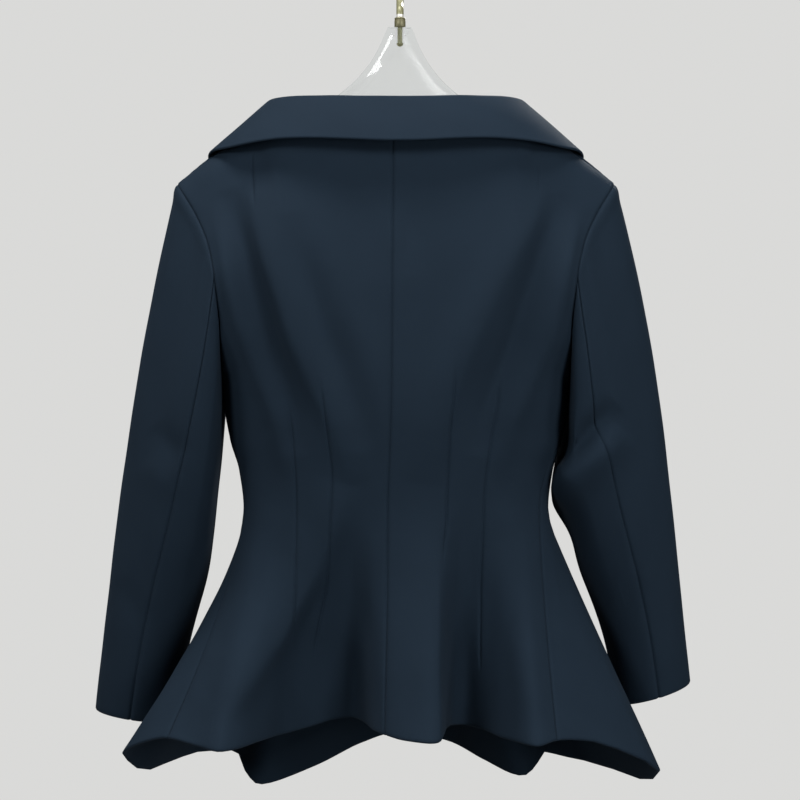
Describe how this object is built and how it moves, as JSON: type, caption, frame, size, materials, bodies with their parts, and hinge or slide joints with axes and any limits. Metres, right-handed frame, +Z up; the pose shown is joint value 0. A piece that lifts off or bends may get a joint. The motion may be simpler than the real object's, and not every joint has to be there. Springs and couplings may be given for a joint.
{
  "type": "ruffled blazer on a clear hanger",
  "caption": "Fitted navy blazer with a fold-over collar, bracelet sleeves and a fluted, flaring skirt, hanging by the hook of a clear hanger.",
  "frame": {"origin": "inside top of the hanger's hook, where it bears on a rail", "axes": "+Z up, +Y towards the garment's back, +X towards the wearer's left"},
  "size_m": [0.556, 0.2614, 0.7584],
  "materials": {
    "cloth": "dark navy crepe with a soft matt face",
    "button": "dark navy, polished",
    "clear_plastic": "clear moulded plastic",
    "brass": "dull old brass"
  },
  "bodies": {
    "root": {"back_left": "cloth", "back_right": "cloth", "front_left": "cloth", "front_right": "cloth", "upper_sleeve_left": "cloth", "upper_sleeve_right": "cloth", "under_sleeve_left": "cloth", "under_sleeve_right": "cloth", "collar": "cloth", "lapel_left": "cloth", "lapel_right": "cloth", "button": "button", "hanger_body": "clear_plastic", "hanger_ferrule": "brass", "hanger_hook": "brass"}
  },
  "joints": []
}
